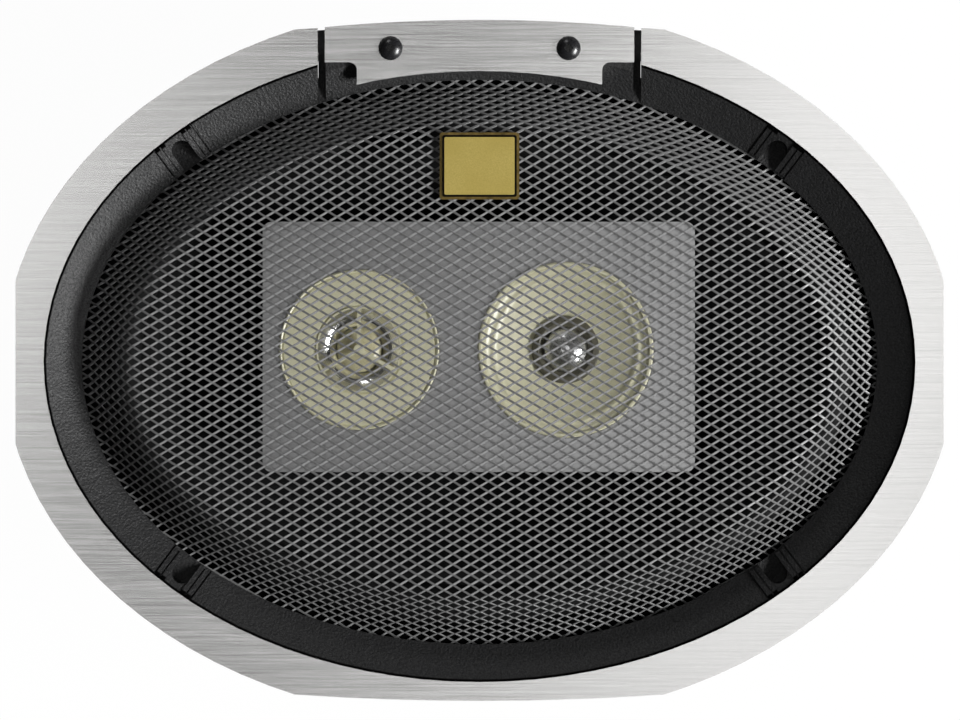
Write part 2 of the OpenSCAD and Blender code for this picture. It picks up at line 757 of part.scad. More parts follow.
// Ring-shaped cap between the cone and the post
module dust_cap() {
    r0 = cap_d / 2;
    r1 = post_d / 2 + cap_gap;
    n = 8;
    top = [for (i = [0 : n]) [mix(r0, r1, i / n), z_cap + cap_t + cap_h * sin(90 * i / n)]];
    color([0.07, 0.07, 0.08]) turned(concat(top, [for (i = [n : -1 : 0]) top[i] - [0, cap_t]]));
}

// Thin tube that carries the coil
module coil_former() {
    color([0.6, 0.45, 0.2]) tube(former_out, former_in, z_coil - 1.5, z_neck + 2 - z_coil + 1.5);
}

// Copper winding on the former
module voice_coil() {
    color([0.6, 0.3, 0.14]) tube(coil_out, former_out, z_coil, coil_h);
}

// Waved cloth disc that centres the coil
module spider() {
    r0 = former_out + push;
    r1 = pan_d / 2 - 2;
    r2 = ledge_d / 2 - 2;
    n = 8 * spider_waves;
    line = [for (i = [0 : n]) [mix(r0, r1, i / n),
        z_ledge + spider_wave * (1 - cos(360 * spider_waves * i / n)) / 2]];
    color([0.62, 0.5, 0.25]) turned(concat(line, [[r2, z_ledge], [r2, z_ledge + spider_t]],
        [for (i = [n : -1 : 0]) line[i] + [0, spider_t]]));
}

// Front pole plate of the woofer's motor
module top_plate() {
    color(grey) difference() {
        tube(top_plate_d / 2, gap_r, z_magnet, top_plate_t);
        for (i = [0 : 3]) rotate(45 + 90 * i) translate([top_plate_d / 2 - 8, 0, z_magnet - 1])
            cylinder(h = top_plate_t + 2, d = rivet_d + 2 * push);
    }
}

// Ferrite ring magnet
module magnet() {
    r = magnet_d / 2;
    color([0.13, 0.13, 0.14]) turned([
        [magnet_bore / 2, z_yoke], [r - 1, z_yoke], [r, z_yoke + 1], [r, z_magnet - 1], [r - 1, z_magnet],
        [magnet_bore / 2, z_magnet]]);
}

// Back plate and pole in one piece
module yoke() {
    r = top_plate_d / 2;
    color(grey) difference() {
        turned([
            [0, z_rear], [r - 1.5, z_rear], [r, z_rear + 1.5], [r, z_yoke], [pole_d / 2, z_yoke],
            [pole_d / 2, z_pole - 1], [pole_d / 2 - 1, z_pole], [0, z_pole]]);
        translate([0, 0, z_rear - 1]) cylinder(h = big, d = post_bolt_d + 0.4);
        translate([0, 0, z_rear - 1]) cylinder(h = 1 + yoke_t - 2, d = post_bolt_d * 2.4);
    }
}

// Post from the pole up to the bridge
module centre_post() {
    r = post_d / 2;
    color(black) difference() {
        turned([
            [0, z_pole], [r + 3, z_pole], [r + 3, z_pole + 2], [r, z_pole + 4], [r, z_under - 1],
            [0, z_under - 1]]);
        translate([0, 0, z_pole - 1]) cylinder(h = 17, d = post_bolt_d + 2 * push);
    }
    color(black) difference() {
        translate([post_foot_x, 0, z_under - 3]) linear_extrude(3) rounded(post_foot_l, post_foot_w, 3);
        at_post_screws() translate([0, 0, z_under - 4]) cylinder(h = 6, d = 2.4 + 2 * push);
    }
}

// Repeats its children at the two screws in the post's foot
module at_post_screws() {
    for (y = [-1, 1]) translate([post_screw.x, y * post_screw.y, 0]) children();
}

// Bolt through the yoke into the post
module post_bolt() {
    z = z_rear + yoke_t - 2;
    color(steel) difference() {
        union() {
            translate([0, 0, z - 3]) cylinder(h = 3, d = post_bolt_d * 1.7);
            translate([0, 0, z - 0.5]) cylinder(h = z_pole + 14 - z, d = post_bolt_d);
        }
        translate([0, 0, z - 4]) cylinder(h = 3, r = post_bolt_d * 0.46, $fn = 6);
    }
}

// Grey plate that carries the two small drivers
module driver_bridge() {
    color(grey) difference() {
        union() {
            translate([bridge_c.x, bridge_c.y, 0]) difference() {
                translate([0, 0, z_bridge - bridge_edge]) linear_extrude(z_plate - z_bridge + bridge_edge)
                    rounded(bridge_l, bridge_w, bridge_r);
                translate([0, 0, z_bridge - bridge_edge - 1])
                    linear_extrude(z_plate - z_under - bridge_t + bridge_edge - 1)
                    rounded(bridge_l - 3, bridge_w - 3, max(bridge_r - 1.5, 0.4));
            }
            for (d = drivers) translate([d[0].x, d[0].y, z_under])
                cylinder(h = z_plate - z_under, r = d[1] + 1.6);
            translate([post_foot_x, 0, z_under]) linear_extrude(z_plate - z_under)
                rounded(post_foot_l, post_foot_w, 3);
        }
        for (d = drivers) translate([d[0].x, d[0].y, 0]) {
            translate([0, 0, z_under - 1]) cylinder(h = big, r = d[2]);
            translate([0, 0, z_bridge]) cylinder(h = big, r = d[1] + seat_gap);
        }
        at_post_screws() translate([0, 0, z_under - 1]) cylinder(h = 1 + bridge_t * 0.7, d = 2.4 + 2 * push);
    }
}

// Screws from the post's head into the bridge
module bridge_screws() {
    color(steel) at_post_screws() {
        translate([0, 0, z_under - 3.5]) cylinder(h = 3.5 + bridge_t * 0.6, d = 2.4);
        translate([0, 0, z_under - 4.8]) cylinder(h = 1.8, d = 4.2);
    }
}

// Crossover capacitor lying under the bridge's free end
module capacitor(l, d, y) {
    translate([bridge_c.x + bridge_l / 2 - 2.3 - d / 2, y - l / 2, z_plate - bridge_t - d / 2])
        rotate([-90, 0, 0]) turned([
        [0, 0], [d / 2 - 0.6, 0], [d / 2, 0.6], [d / 2, 2], [d / 2 - 0.4, 2.4], [d / 2, 2.8],
        [d / 2, l - 0.6], [d / 2 - 0.6, l], [0, l]]);
}

module capacitor_mid() {
    color([0.12, 0.14, 0.2]) capacitor(20, 7, bridge_c.y - bridge_w * 0.26);
}

module capacitor_tweeter() {
    color([0.12, 0.14, 0.2]) capacitor(15, 5.6, bridge_c.y + bridge_w * 0.29);
}

// Moulded tweeter body: rim, spigot and seat for the motor
module tweeter_body() {
    r = tweeter_d / 2;
    s = tweeter_hole - spigot_gap;
    b = bowl_d / 2;
    color(cream) translate([tweeter_c.x, tweeter_c.y, 0]) turned([
        [b, z_face - 0.8], [b + 0.5, z_face - 0.35], [r - 1.3, z_face - 0.35], [r - 1.1, z_face - 0.7],
        [r - 0.9, z_face - 0.7], [r - 0.8, z_face - 0.2], [r - 0.4, z_face],
        [r, z_face - 0.4], [r, z_bridge], [s, z_bridge],
        [s, tw_base - 5], [cup_r + push, tw_base - 5], [cup_r + push, tw_base - 2],
        [s - 1.8, tw_base - 2], [s - 1.8, z_bridge - 1.2],
        [b, z_bridge - 1.2]]);
}

// Bright bowl round the dome
module tweeter_bowl() {
    b = bowl_d / 2 - push;
    i0 = dome_r + 1.9;
    n = 8;
    line = [for (i = [0 : n]) [mix(i0, b, i / n), mix(tw_base + 0.6, z_face - 1, pow(i / n, 1.4))]];
    color([0.9, 0.9, 0.92]) translate([tweeter_c.x, tweeter_c.y, 0]) turned(concat(
        line, [for (i = [n : -1 : 0]) line[i] - [0, 0.7]]));
}

// Three-spoke guard over the dome
module tweeter_guard() {
    b = bowl_d / 2 - push;
    z = z_face - 1;
    color(cream) translate([tweeter_c.x, tweeter_c.y, z]) {
        tube(b, b - 0.5, 0, 0.9);
        cylinder(h = 1.1, r = 1.5);
        for (i = [0 : 2]) rotate(90 + 120 * i) translate([1, -spoke_w / 2, 0]) cube([b - 1.2, spoke_w, 0.9]);
    }
}

// Small dome of the tweeter
module tweeter_dome() {
    h = 2.6;
    n = 6;
    line = [for (i = [0 : n]) [dome_r * cos(90 * i / n), tw_base + h * sin(90 * i / n)]];
    color(cream) translate([tweeter_c.x, tweeter_c.y, 0]) turned(concat(
        line, [[0, tw_base + h - 0.3]], [for (i = [n - 1 : -1 : 0]) line[i] - [0.3, i == 0 ? 0 : 0.12]]));
}

// Roll that carries the small dome
module tweeter_suspension() {
    color([0.7, 0.68, 0.58]) translate([tweeter_c.x, tweeter_c.y, 0])
        tube(dome_r + 1.8, dome_r + 0.3, tw_base - 0.1, 0.3);
}

// Coil of the small dome
module tweeter_coil() {
    color([0.6, 0.3, 0.14]) translate([tweeter_c.x, tweeter_c.y, 0])
        tube(dome_r, dome_r - 0.4, tw_base - 5, 5);
}

// Steel disc on the tweeter's magnet
module tweeter_pole_plate() {
    color(grey) translate([tweeter_c.x, tweeter_c.y, tw_base - 4.4]) cylinder(h = 2.4, r = dome_r - 0.8);
}

// Small disc magnet
module tweeter_magnet() {
    color([0.6, 0.6, 0.6]) translate([tweeter_c.x, tweeter_c.y, tw_base - cup_h + cup_floor])
        cylinder(h = cup_h - cup_floor - 4.4, r = dome_r - 1.2);
}

// Steel cup round the magnet
module tweeter_cup() {
    z = tw_base - cup_h;
    color(steel) translate([tweeter_c.x, tweeter_c.y, 0]) turned([
        [0, z], [cup_r - 0.8, z], [cup_r, z + 0.8], [cup_r, tw_base - 0.1],
        [dome_r + 0.5, tw_base - 0.1], [dome_r + 0.5, z + cup_floor], [0, z + cup_floor]]);
}

// Moulded midrange frame: rim, basket and floor
module mid_frame() {
    r = mid_d / 2;
    s = mid_spigot;
    m = mid_motor_r;
    color(cream) translate([mid_c.x, mid_c.y, 0]) difference() {
        turned([
            [mid_shelf_r, z_bridge + 0.5], [mid_shelf_r, mid_face], [mid_rim_r, mid_face],
            [mid_rim_r, z_face - 0.3], [mid_rim_r + 0.3, z_face],
            [r - 0.4, z_face], [r, z_face - 0.4], [r, z_bridge], [s, z_bridge],
            [s, z_under + 1.3], [mid_body_r, z_under + 0.1], [mid_body_r, z_bridge - 4],
            [m + 0.6, mid_plate_z + 0.6], [m + 0.6, mid_plate_z], [mid_coil_r + 3, mid_plate_z],
            [mid_coil_r + 3, mid_plate_z + 1.4], [m - 1, mid_plate_z + 1.4], [m - 1, mid_plate_z + 2.6],
            [mid_body_r - 0.9, z_bridge - 3], [mid_body_r - 0.9, z_under + 0.7], [s - 0.8, z_under + 1.8],
            [s - 0.8, z_bridge + 0.5]]);
        for (i = [0 : 3]) rotate(45 + 90 * i) translate([m + 2.4, 0, mid_plate_z + 5.6])
            rotate([0, 90, 0]) translate([0, 0, -5]) linear_extrude(10) rounded(3.4, 9, 1.4);
    }
}

// Thin sloping edge between the midrange's rim and its cone
module mid_surround() {
    e = mid_cone_r - 1;
    n = 6;
    low = [for (i = [0 : n])
        [mix(mid_cone_r, mid_shelf_r, i / n), mix(mid_edge_z, mid_face, i / n) - 0.25 * sin(180 * i / n)]];
    color(cream) translate([mid_c.x, mid_c.y, 0]) turned(concat(
        [[e, mid_edge_z - 0.5]], low, [[mid_rim_r - 0.1, mid_face], [mid_rim_r - 0.1, mid_face + 0.35]],
        [for (i = [n : -1 : 0]) low[i] + [0, 0.35]], [[e, mid_edge_z - 0.35]]));
}

// Shallow cone of the midrange
module mid_cone() {
    e = mid_cone_r - 1;
    n = 5;
    line = [for (i = [0 : n])
        [mix(mid_neck_r, e, i / n), mix(mid_neck_z, mid_edge_z - 0.5, pow(i / n, 1.3))]];
    color(cream) translate([mid_c.x, mid_c.y, 0]) turned(concat(
        [for (p = line) p - [0, 0.5]], [[mid_cone_r, mid_edge_z - 0.5], [mid_cone_r, mid_edge_z]],
        [for (i = [n : -1 : 0]) line[i]]));
}

// Dark ring between the midrange's cone and its dome
module mid_ring() {
    r = mid_ring_d / 2;
    z = mid_neck_z + 0.1;
    color([0.25, 0.24, 0.2]) translate([mid_c.x, mid_c.y, 0]) turned([
        [mid_dome_d / 2 + push, z], [mid_neck_r - 0.1, z], [r, z + 0.4], [r, z + 1], [r - 0.3, z + 1.3],
        [mid_dome_d / 2 + 1.4, z + 1.6], [mid_dome_d / 2 + push, z + 0.8]]);
}

// Bright dome in the middle of the midrange
module mid_dome() {
    r = mid_dome_d / 2;
    h = 4.4;
    n = 8;
    z = mid_neck_z + 0.1;
    line = [for (i = [0 : n]) [r * cos(90 * i / n), z + h * sin(90 * i / n)]];
    color([0.8, 0.8, 0.82]) translate([mid_c.x, mid_c.y, 0]) turned(concat(
        line, [[0, z + h - 0.4]], [for (i = [n - 1 : -1 : 0]) line[i] - [0.4, i == 0 ? 0 : 0.15]]));
}

// Former and winding of the midrange
module mid_coil() {
    color([0.6, 0.3, 0.14]) translate([mid_c.x, mid_c.y, 0]) turned([
        [mid_coil_r, mid_plate_z - 3], [mid_coil_r + 0.6, mid_plate_z - 3],
        [mid_coil_r + 0.6, mid_plate_z + 1], [mid_coil_r + 0.3, mid_plate_z + 1],
        [mid_coil_r + 0.3, mid_neck_z - 0.5], [mid_neck_r, mid_neck_z - 0.5],
        [mid_neck_r, mid_neck_z], [mid_coil_r, mid_neck_z]]);
}

// Waved disc that centres the midrange's coil
module mid_spider() {
    r0 = mid_coil_r + 0.35;
    r1 = mid_motor_r - 1.2;
    n = 24;
    line = [for (i = [0 : n]) [mix(r0, r1, i / n), mid_plate_z + 2.3 + 0.4 * sin(360 * 3 * i / n)]];
    color([0.62, 0.5, 0.25]) translate([mid_c.x, mid_c.y, 0]) turned(concat(
        line, [for (i = [n : -1 : 0]) line[i] + [0, 0.3]]));
}

// Front plate of the midrange's motor
module mid_top_plate() {
    color(grey) translate([mid_c.x, mid_c.y, 0]) tube(mid_motor_r, mid_coil_r + 1, mid_plate_z - 2.5, 2.5);
}

// Ring magnet of the midrange
module mid_magnet() {
    color([0.13, 0.13, 0.14]) translate([mid_c.x, mid_c.y, 0])
        tube(mid_motor_r + 0.4, mid_coil_r + 2.4, mid_plate_z - 7.5, 5);
}

// Back plate and pole of the midrange
module mid_yoke() {
    z = mid_plate_z - 7.5;
    color(grey) translate([mid_c.x, mid_c.y, 0]) turned([
        [0, z - 2.5], [mid_motor_r - 0.8, z - 2.5], [mid_motor_r, z - 1.7], [mid_motor_r, z],
        [mid_coil_r - 0.5, z],
        [mid_coil_r - 0.5, mid_plate_z], [0, mid_plate_z]]);
}

// Board behind the basket's bracket
module terminal_board() {
    color([0.35, 0.2, 0.1]) difference() {
        translate([-board_l / 2, -ledge_d / 2 - 14, z_ledge - steel_t - board_t])
            cube([board_l, 14, board_t]);
        for (x = [-1, 1]) translate([x * board_l / 2.7, -ledge_d / 2 - 8, z_ledge - 9])
            cylinder(h = 10, d = 3 + 2 * push);
    }
}

// Folded blade under the board
module blade(x, w) {
    z = z_ledge - steel_t - board_t;
    difference() {
        union() {
            translate([x - w / 2, -ledge_d / 2 - 13, z - blade_t]) cube([w, 12, blade_t]);
            translate([x - w / 2, -ledge_d / 2 - 13, z - 9]) cube([w, blade_t, 9]);
        }
        translate([x, -ledge_d / 2 - 8, z - 2]) cylinder(h = 4, d = 3 + 2 * push);
        translate([x, -ledge_d / 2 - 14, z - 5.5]) rotate([-90, 0, 0]) cylinder(h = 4, d = 1.6);
    }
}

module terminal_positive() {
    color([0.75, 0.62, 0.3]) blade(board_l / 2.7, blade_pos_w);
}

module terminal_negative() {
    color([0.75, 0.75, 0.72]) blade(-board_l / 2.7, blade_neg_w);
}

// Rivets through bracket, board and blades
module terminal_rivets() {
    h = steel_t + board_t + blade_t;
    color([0.75, 0.75, 0.72]) for (x = [-1, 1])
        translate([x * board_l / 2.7, -ledge_d / 2 - 8, z_ledge - h]) {
        cylinder(h = h, d = 3);
        translate([0, 0, h]) cylinder(h = 0.8, d = 4.6);
        translate([0, 0, -0.8]) cylinder(h = 0.8, d = 4.6);
    }
}

// Round tube swept along a list of points
module wire(path, d, sides = 8) {
    n = len(path);
    polyhedron(
        [for (i = [0 : n - 1])
            let (t = path[min(i + 1, n - 1)] - path[max(i - 1, 0)], u = [1, 0, 0], v = cross(t, u)
                / norm(cross(t, u)))
            for (k = [0 : sides - 1]) path[i] + d / 2 * (u * cos(360 * k / sides)
                + v * sin(360 * k / sides))],
        concat(
            [for (i = [0 : n - 2]) for (k = [0 : sides - 1])
                let (k1 = (k + 1) % sides)
                each [[i * sides + k, (i + 1) * sides + k1, (i + 1) * sides + k],
                    [i * sides + k, i * sides + k1, (i + 1) * sides + k1]]],
            [[for (k = [sides - 1 : -1 : 0]) k]], [[for (k = [0 : sides - 1]) (n - 1) * sides + k]]));
}

// Place along a lead, from the board's rivet at 0 to the cone at 1
function lead_at(t) = [mix(board_l / 2.7, 5, t), mix(-ledge_d / 2 - 3.6, -cap_d / 2 - 6, t),
    z_ledge + mix(lead_d / 2 + 0.1, 10, t * t) + lead_d * sin(180 * t)];

// Flexible leads from the board's rivets through the basket's wall to the cone
module tinsel_leads() {
    n = 14;
    color([0.6, 0.35, 0.2]) for (x = [-1, 1])
        wire([for (i = [0 : n]) let (p = lead_at(i / n)) [x * p.x, p.y, p.z]], lead_d);
}

trim_ring();
clamp_plate();
clamp_screws();
clamp_block();
grille_frame();
grille_mesh();
mesh_retainer();
badge_base();
badge_plate();
badge_clips();
basket();
basket_rivets();
surround_gasket();
surround();
cone();
dust_cap();
coil_former();
voice_coil();
spider();
top_plate();
magnet();
yoke();
centre_post();
post_bolt();
driver_bridge();
bridge_screws();
capacitor_mid();
capacitor_tweeter();
tweeter_body();
tweeter_bowl();
tweeter_guard();
tweeter_dome();
tweeter_suspension();
tweeter_coil();
tweeter_pole_plate();
tweeter_magnet();
tweeter_cup();
mid_frame();
mid_surround();
mid_cone();
mid_ring();
mid_dome();
mid_coil();
mid_spider();
mid_top_plate();
mid_magnet();
mid_yoke();
terminal_board();
terminal_positive();
terminal_negative();
terminal_rivets();
tinsel_leads();
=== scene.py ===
"""Coaxial car speaker: finishes, fine pieces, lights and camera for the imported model.

Sizes of pieces and textures are in millimetres; the stage, lights and camera are in metres.
"""
import json
import math

import bpy
import numpy as np
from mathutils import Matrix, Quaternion, Vector

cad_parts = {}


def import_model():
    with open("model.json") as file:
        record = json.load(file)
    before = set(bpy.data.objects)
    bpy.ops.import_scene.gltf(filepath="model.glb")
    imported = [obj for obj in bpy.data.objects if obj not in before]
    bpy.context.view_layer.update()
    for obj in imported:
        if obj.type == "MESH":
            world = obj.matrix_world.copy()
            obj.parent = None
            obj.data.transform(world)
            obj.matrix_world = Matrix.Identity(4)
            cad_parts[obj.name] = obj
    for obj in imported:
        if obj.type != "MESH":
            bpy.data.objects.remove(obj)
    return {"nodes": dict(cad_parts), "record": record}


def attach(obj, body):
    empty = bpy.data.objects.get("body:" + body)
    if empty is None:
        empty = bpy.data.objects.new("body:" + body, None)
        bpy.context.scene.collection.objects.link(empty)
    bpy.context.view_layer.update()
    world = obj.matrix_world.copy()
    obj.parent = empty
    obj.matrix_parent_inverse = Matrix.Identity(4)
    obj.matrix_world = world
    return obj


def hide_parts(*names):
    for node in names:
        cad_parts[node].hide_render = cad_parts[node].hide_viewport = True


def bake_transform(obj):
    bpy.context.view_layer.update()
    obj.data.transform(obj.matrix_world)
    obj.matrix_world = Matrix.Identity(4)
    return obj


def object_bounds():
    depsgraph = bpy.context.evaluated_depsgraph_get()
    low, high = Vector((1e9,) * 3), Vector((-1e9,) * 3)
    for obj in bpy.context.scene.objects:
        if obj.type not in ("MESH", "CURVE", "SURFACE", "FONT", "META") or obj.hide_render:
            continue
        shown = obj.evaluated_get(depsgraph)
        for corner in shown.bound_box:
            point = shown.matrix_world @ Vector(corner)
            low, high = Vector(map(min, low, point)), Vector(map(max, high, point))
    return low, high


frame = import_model()
cad_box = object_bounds()
MM = 0.001

# Sizes shared with the part's source
# grille: the oval of its opening, offsets from that oval, and heights
GRILLE_L, GRILLE_W = 222.0, 157.6
TOP_FLAT, MESH_GAP, MESH_EDGE = -14.1, 1.5, 1.8
Z_MESH, Z_FRAME, Z_DOME, MESH_T = 4.2, 5.0, 20.0, 0.8
TRIM_FACE_Z = 12.0
# woofer: surround, spider, and what the leads run between
Z_LIP, RUBBER_T, ROLL_OUT, ROLL_IN, CONE_LIP = 1.2, 0.6, -6.4, -16.4, 4.0
Z_LEDGE, LEDGE_R, PAN_R, FORMER_OUT = -40.0, 56.0, 47.0, 15.3
SPIDER_T, SPIDER_WAVE, SPIDER_WAVES = 0.5, 1.3, 5
CAP_D, BOARD_L, LEAD_D = 46.0, 34.0, 1.6
# midrange and tweeter
MID_C, MID_FACE, MID_PLATE_Z, MID_MOTOR_R, MID_COIL_R = (23.9, 3.4), 14.6, 0.1, 14.6, 6.7
MID_RIM_R, MID_SHELF_R, MID_CONE_R, MID_EDGE_Z = 23.1, 22.2, 20.2, 14.1
TWEETER_C, TWEETER_DOME_R, TWEETER_BASE = (-33.4, 3.4), 6.3, 11.2

# Expanded sheet of the grille
PITCH_L, PITCH_S = 4.93, 2.87      # diamonds; the source draws its net three times as coarse
STRAND_HALF, CHAMFER = 0.235, 0.075
SHEET_T = 0.34
BOND_HALF, BOND_SPARE = 0.17, 0.04  # half a joint's length, and what it adds to half its width
TIP_RISE, TIP_LEAN = 0.20, 0.04    # how far a joint tilts out of the sheet, across and along
NET_INSET = 0.2                    # the net stops this far inside the sheet's edge
CROWN_R, FOOT_R = 4.5, 2.4         # bends at the flat top and at the rim
CROWN_STEPS, FOOT_STEPS = 12, 8
FAR_IN, FAR_OUT = -60.0, 40.0      # offsets searched from the flat top's edge
FLAT_CORE = -50.0                  # points further in than this stay as laid out

# Heights between which a finish, or a painted shade, changes
RECESS_Z = 4.3, 4.7                # top of the painted shade that blackens the retainer's recess
SEAM_SHADOW_Z = 11.22, 11.38              # bottom of the painted shadow, black, along the seam under the trim
BADGE_RECESS_Z = 20.9, 21.0        # top of the black recess in the badge

NOISE_LOW, NOISE_HIGH = 0.3, 0.7   # where most of a noise texture's values lie
WAVE_PERIOD = 0.314159             # one band of a wave texture at scale 1

OVAL_STEPS, MID_STEPS, ROUND_STEPS = 192, 128, 96
SHARP_ANGLE, BEVEL_ANGLE = 32, 50  # degrees, on the CAD nodes


# Finishes

class Nodes:
    """A material's node tree with short calls for the textures used here."""

    def __init__(self, name, **sockets):
        self.material = bpy.data.materials.new(name)
        self.material.use_nodes = True
        self.tree = self.material.node_tree
        self.shader = self.tree.nodes["Principled BSDF"]
        for socket, value in sockets.items():
            self.put(self.shader, socket.replace("_", " "), value)

    def put(self, node, socket, value):
        """Link a socket to a node's input, or set the input's own value."""
        if isinstance(value, bpy.types.NodeSocket):
            self.tree.links.new(value, node.inputs[socket])
        else:
            node.inputs[socket].default_value = value

    def add(self, kind, **inputs):
        node = self.tree.nodes.new("ShaderNode" + kind)
        for socket, value in inputs.items():
            self.put(node, socket.replace("_", " "), value)
        return node

    def place(self):
        return self.add("TexCoord").outputs["Object"]

    def coords(self, stretch=(1, 1, 1)):
        return self.add("Mapping", Vector=self.place(), Scale=stretch).outputs[0]

    def noise(self, size, stretch=(1, 1, 1), detail=2.0, rough=0.5, twist=0.0):
        return self.add("TexNoise", Vector=self.coords(stretch), Scale=1 / (size * MM),
                        Detail=detail, Roughness=rough, Distortion=twist).outputs["Fac"]

    def cells(self, size):
        return self.add("TexVoronoi", Vector=self.coords(), Scale=1 / (size * MM)).outputs["Distance"]

    def wave(self, size, along, twist=0.0):
        node = self.add("TexWave", Vector=self.coords(), Scale=WAVE_PERIOD / (size * MM),
                        Distortion=twist)
        node.bands_direction = along
        return node.outputs["Fac"]

    def above(self, heights):
        """0 below the first of two heights and 1 above the second."""
        z = self.add("SeparateXYZ", Vector=self.place()).outputs["Z"]
        return self.span(z, 0.0, 1.0, heights[0] * MM, heights[1] * MM)

    def math(self, how, a, b):
        node = self.add("Math")
        node.operation = how
        self.put(node, 0, a)
        self.put(node, 1, b)
        return node.outputs[0]

    def span(self, value, low, high, start=NOISE_LOW, end=NOISE_HIGH):
        return self.add("MapRange", Value=value, From_Min=start, From_Max=end,
                        To_Min=low, To_Max=high).outputs[0]

    def between(self, fac, a, b, start=NOISE_LOW, end=NOISE_HIGH):
        """Colour a where fac is at start, and b, a colour or a socket, where it is at end."""
        node = self.add("Mix")
        node.data_type = "RGBA"
        self.put(node, 0, self.span(fac, 0.0, 1.0, start, end))
        self.put(node, 6, (*a, 1))
        self.put(node, 7, b if isinstance(b, bpy.types.NodeSocket) else (*b, 1))
        return node.outputs[2]

    def colour(self, socket):
        self.put(self.shader, "Base Color", socket)

    def rough(self, socket):
        self.put(self.shader, "Roughness", socket)
        return self

    def bump(self, height, depth, strength):
        node = self.add("Bump", Height=height, Strength=strength, Distance=depth * MM)
        self.put(self.shader, "Normal", node.outputs[0])
        return self


def brushed_aluminium():
    """Sheet brushed along X."""
    n = Nodes("brushed_aluminium", Metallic=0.9)
    fine = n.noise(0.36, stretch=(0.012, 1, 1), detail=4.0, rough=0.75)
    broad = n.noise(1.4, stretch=(0.025, 1, 1))
    cloud = n.noise(45, stretch=(0.6, 1, 1), detail=1.0)
    lines = n.math("ADD", n.math("MULTIPLY", fine, 0.92), n.math("MULTIPLY", broad, 0.08))
    bright = n.between(cloud, (0.90, 0.895, 0.885), (0.94, 0.935, 0.925))
    n.colour(n.between(lines, (0.60, 0.595, 0.585), bright, 0.32, 0.62))
    return n.rough(n.span(lines, 0.18, 0.27)).bump(lines, depth=0.012, strength=0.12)


def grained_plastic():
    """Moulded plastic, with painted shade: black and dull in the shadowed seam under the trim and in
    the retainer's recess.
    """
    n = Nodes("grained_plastic")
    # painted shade: 0 in the seam under the trim and in the retainer's recess, where the colour goes
    # black and the specular goes to 0
    unshaded_part = n.math("SUBTRACT", n.above(RECESS_Z), n.above(SEAM_SHADOW_Z))
    grain = n.noise(0.5, detail=3.0, rough=0.65)
    height = n.math("ADD", grain, n.math("MULTIPLY", n.cells(0.8), 0.6))
    moulded = n.between(grain, (0.002, 0.002, 0.0023), (0.020, 0.020, 0.0205), 0.35, 0.65)
    n.colour(n.between(unshaded_part, (0.0015, 0.0015, 0.0015), moulded, 0, 1))
    n.put(n.shader, "Specular IOR Level", n.math("MULTIPLY", unshaded_part, 0.40))
    return n.rough(n.span(grain, 0.62, 0.42)).bump(height, depth=0.2, strength=0.8)


def mesh_metal():
    n = Nodes("mesh_metal", Metallic=0.3)
    fleck = n.noise(0.9)
    pale = n.between(n.noise(30, detail=1.0), (0.19, 0.19, 0.19), (0.22, 0.22, 0.22))
    n.colour(n.between(fleck, (0.17, 0.17, 0.17), pale))
    return n.rough(n.span(fleck, 0.46, 0.57)).bump(n.noise(0.35), depth=0.02, strength=0.4)


def badge_gold():
    n = Nodes("badge_gold", Metallic=0.7)
    fine = n.noise(0.3, detail=3.0, rough=0.7)
    pale = n.between(n.noise(9, detail=1.0), (0.63, 0.495, 0.135), (0.72, 0.58, 0.18))
    n.colour(n.between(fine, (0.54, 0.415, 0.105), pale))
    return n.rough(n.span(fine, 0.34, 0.50)).bump(fine, depth=0.02, strength=0.4)


def badge_bronze():
    """Worn bronze border round a recess that is painted black."""
    n = Nodes("badge_bronze", Metallic=0.8)
    worn = n.noise(1.6, detail=3.0)
    bronze = n.between(worn, (0.10, 0.07, 0.02), (0.26, 0.18, 0.055))
    n.colour(n.between(n.above(BADGE_RECESS_Z), (0.005, 0.005, 0.005), bronze, 0, 1))
    return n.rough(n.span(worn, 0.30, 0.5)).bump(n.noise(0.4), depth=0.02, strength=0.4)


def cone_paper():
    """Felted paper with fibres both ways."""
    n = Nodes("cone_paper", Specular_IOR_Level=0.15)
    fibre = n.noise(0.9, stretch=(0.35, 1, 1), detail=4.0, rough=0.7, twist=1.5)
    cross = n.noise(0.8, stretch=(1, 0.3, 1), detail=4.0, rough=0.7, twist=1.2)
    felt = n.math("MAXIMUM", fibre, cross)
    n.colour(n.between(felt, (0.004, 0.004, 0.0042), (0.012, 0.012, 0.0125), 0.4, 0.8))
    return n.rough(n.span(felt, 0.9, 0.7)).bump(felt, depth=0.12, strength=0.6)


def rubber():
    n = Nodes("rubber", Specular_IOR_Level=0.2)
    bloom = n.noise(14, detail=3.0)
    n.colour(n.between(bloom, (0.003, 0.003, 0.003), (0.006, 0.006, 0.0062)))
    return n.rough(n.span(bloom, 0.62, 0.78)).bump(n.noise(0.5), depth=0.03, strength=0.5)


def cloth():
    """Weave of two crossing sets of threads, stiffened with resin."""
    n = Nodes("cloth", Specular_IOR_Level=0.3, Roughness=0.85)
    thread, weft = 0.55, (0.50, 0.36, 0.14)
    weave = n.math("MAXIMUM", n.wave(thread, "X", twist=0.6), n.wave(thread, "Y", twist=0.6))
    resin = n.between(n.noise(6), weft, tuple(0.75 * c for c in weft))
    n.colour(n.between(weave, (0.17, 0.10, 0.03), resin, 0.2, 0.9))
    return n.bump(weave, depth=0.12, strength=0.7)


def wound_copper():
    """Turns of wire round Z."""
    n = Nodes("copper", Metallic=1.0)
    turns = n.wave(0.32, "Z")
    tone = n.noise(2.5, stretch=(1, 1, 0.2))
    wire = n.between(tone, (0.62, 0.27, 0.13), (0.78, 0.36, 0.18))
    n.colour(n.between(turns, (0.16, 0.05, 0.02), wire, 0.1, 0.8))
    return n.rough(n.span(turns, 0.5, 0.28)).bump(turns, depth=0.08, strength=0.8)


